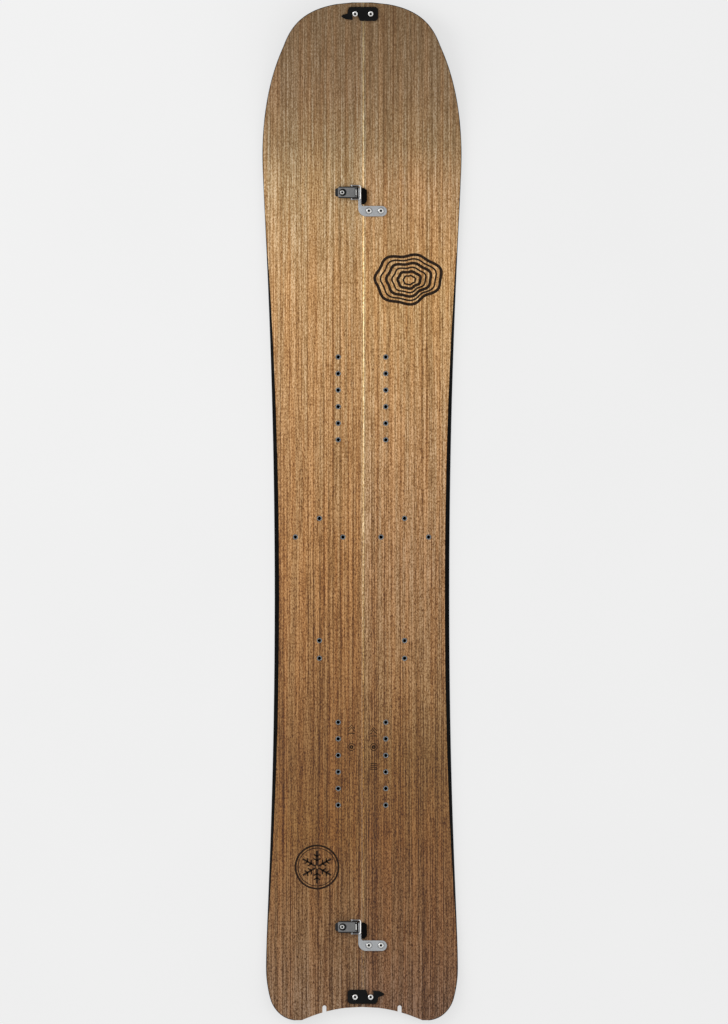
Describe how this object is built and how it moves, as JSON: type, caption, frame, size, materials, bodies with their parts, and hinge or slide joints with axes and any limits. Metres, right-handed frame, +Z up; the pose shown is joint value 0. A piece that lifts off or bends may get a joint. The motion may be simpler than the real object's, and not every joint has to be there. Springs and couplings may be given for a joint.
{
  "type": "splitboard",
  "caption": "Swallow-tailed splitboard whose two wood-veneer halves are joined by turning tip and tail hooks and by draw latches over the seam.",
  "frame": {"origin": "centre of the board's length and width, on the floor plane that the flat base rests on", "axes": "+X across the board to the right half, +Y along the seam to the nose, +Z up from the base to the topsheet"},
  "size_m": [0.3056, 1.56, 0.0515],
  "materials": {
    "wood_veneer": "satin clear-coated veneer, straight lengthwise grain",
    "glass_laminate": "cured glass fibre and resin",
    "wood_core": "raw laminated wood",
    "black_plastic": "satin sanded sidewall plastic",
    "sintered_base": "stone-ground and waxed",
    "edge_steel": "ground",
    "fastener_steel": "bright",
    "bracket_aluminium": "tumbled",
    "lever_anodised": "dark grey anodised",
    "hook_plastic": "black, lightly textured"
  },
  "bodies": {
    "left_half": {"left_outer_edge": "edge_steel", "left_inner_edge": "edge_steel", "left_base": "sintered_base", "left_lower_laminate": "glass_laminate", "left_core": "wood_core", "left_inner_sidewall": "black_plastic", "left_outer_sidewall": "black_plastic", "left_nose_spacer": "black_plastic", "left_tail_spacer": "black_plastic", "left_upper_laminate": "glass_laminate", "left_topsheet": "wood_veneer", "left_front_binding_inserts": "fastener_steel", "left_rear_binding_inserts": "fastener_steel", "left_touring_inserts": "fastener_steel", "left_riser_inserts": "fastener_steel", "tip_hook_post_screw": "fastener_steel", "tip_hook_post_bush": "fastener_steel", "front_latch_base_plate": "lever_anodised", "front_latch_base_screw": "fastener_steel", "rear_latch_base_plate": "lever_anodised", "rear_latch_base_screw": "fastener_steel"},
    "right_half": {"right_outer_edge": "edge_steel", "right_inner_edge": "edge_steel", "right_base": "sintered_base", "right_lower_laminate": "glass_laminate", "right_core": "wood_core", "right_inner_sidewall": "black_plastic", "right_outer_sidewall": "black_plastic", "right_nose_spacer": "black_plastic", "right_tail_spacer": "black_plastic", "right_upper_laminate": "glass_laminate", "right_topsheet": "wood_veneer", "right_front_binding_inserts": "fastener_steel", "right_rear_binding_inserts": "fastener_steel", "right_touring_inserts": "fastener_steel", "right_riser_inserts": "fastener_steel", "tail_hook_post_screw": "fastener_steel", "tail_hook_post_bush": "fastener_steel", "front_latch_bracket": "bracket_aluminium", "front_latch_wedge_pad": "black_plastic", "front_latch_bracket_inner_screw": "fastener_steel", "front_latch_bracket_outer_screw": "fastener_steel", "rear_latch_bracket": "bracket_aluminium", "rear_latch_wedge_pad": "black_plastic", "rear_latch_bracket_inner_screw": "fastener_steel", "rear_latch_bracket_outer_screw": "fastener_steel"},
    "tip_hook_pivot": {"tip_hook_pivot_screw": "fastener_steel"},
    "tip_hook_plate": {"tip_hook": "hook_plastic"},
    "tail_hook_pivot": {"tail_hook_pivot_screw": "fastener_steel"},
    "tail_hook_plate": {"tail_hook": "hook_plastic"},
    "front_lever_axle": {"front_latch_lever_axle": "fastener_steel"},
    "front_lever": {"front_latch_lever": "lever_anodised"},
    "front_bail_pin": {"front_latch_bail_pin": "fastener_steel"},
    "front_bail": {"front_latch_bail": "fastener_steel"},
    "rear_lever_axle": {"rear_latch_lever_axle": "fastener_steel"},
    "rear_lever": {"rear_latch_lever": "lever_anodised"},
    "rear_bail_pin": {"rear_latch_bail_pin": "fastener_steel"},
    "rear_bail": {"rear_latch_bail": "fastener_steel"}
  },
  "joints": [
    {"name": "halves_separation", "type": "slide", "parent": "left_half", "child": "right_half", "axis": [1, 0, 0], "range_m": [0, 0.012]},
    {"name": "tip_hook_release", "type": "hinge", "parent": "right_half", "child": "tip_hook_pivot", "pos_m": [0.0133, 0.7635, 0.04498], "axis": [0, 0.2478, -0.9688], "range_deg": [0, 90]},
    {"name": "tip_hook_swing", "type": "hinge", "parent": "tip_hook_pivot", "child": "tip_hook_plate", "pos_m": [0.0133, 0.7635, 0.04498], "axis": [0, 0.2478, -0.9688], "range_deg": [0, 100]},
    {"name": "tail_hook_release", "type": "hinge", "parent": "left_half", "child": "tail_hook_pivot", "pos_m": [-0.0106, -0.7446, 0.01354], "axis": [0, -0.0851, -0.9964], "range_deg": [0, 90]},
    {"name": "tail_hook_swing", "type": "hinge", "parent": "tail_hook_pivot", "child": "tail_hook_plate", "pos_m": [-0.0106, -0.7446, 0.01354], "axis": [0, -0.0851, -0.9964], "range_deg": [0, 100]},
    {"name": "front_lever_release", "type": "hinge", "parent": "left_half", "child": "front_lever_axle", "pos_m": [-0.0094, 0.4894, 0.0128], "axis": [0, 1, 0], "range_deg": [0, 45]},
    {"name": "front_lever_lift", "type": "hinge", "parent": "front_lever_axle", "child": "front_lever", "pos_m": [-0.0094, 0.4894, 0.0128], "axis": [0, 1, 0], "range_deg": [0, 90]},
    {"name": "front_bail_lift", "type": "hinge", "parent": "front_lever", "child": "front_bail_pin", "pos_m": [-0.0156, 0.4894, 0.0128], "axis": [0, -1, 0], "range_deg": [0, 75]},
    {"name": "front_bail_swing", "type": "hinge", "parent": "front_bail_pin", "child": "front_bail", "pos_m": [-0.0156, 0.4894, 0.0128], "axis": [0, -1, 0], "range_deg": [0, 82]},
    {"name": "rear_lever_release", "type": "hinge", "parent": "left_half", "child": "rear_lever_axle", "pos_m": [-0.0094, -0.6368, 0.0128], "axis": [0, 1, 0], "range_deg": [0, 45]},
    {"name": "rear_lever_lift", "type": "hinge", "parent": "rear_lever_axle", "child": "rear_lever", "pos_m": [-0.0094, -0.6368, 0.0128], "axis": [0, 1, 0], "range_deg": [0, 90]},
    {"name": "rear_bail_lift", "type": "hinge", "parent": "rear_lever", "child": "rear_bail_pin", "pos_m": [-0.0156, -0.6368, 0.0128], "axis": [0, -1, 0], "range_deg": [0, 75]},
    {"name": "rear_bail_swing", "type": "hinge", "parent": "rear_bail_pin", "child": "rear_bail", "pos_m": [-0.0156, -0.6368, 0.0128], "axis": [0, -1, 0], "range_deg": [0, 82]}
  ],
  "couplings": [
    {"joint": "tip_hook_release", "follows": "halves_separation", "rad_per_m": 130.75},
    {"joint": "tail_hook_release", "follows": "halves_separation", "rad_per_m": 130.75},
    {"joint": "front_lever_release", "follows": "halves_separation", "rad_per_m": 65.377},
    {"joint": "front_bail_lift", "follows": "halves_separation", "rad_per_m": 108.94},
    {"joint": "front_bail_swing", "follows": "front_lever_lift", "ratio": 0.9},
    {"joint": "rear_lever_release", "follows": "halves_separation", "rad_per_m": 65.377},
    {"joint": "rear_bail_lift", "follows": "halves_separation", "rad_per_m": 108.94},
    {"joint": "rear_bail_swing", "follows": "rear_lever_lift", "ratio": 0.9}
  ]
}
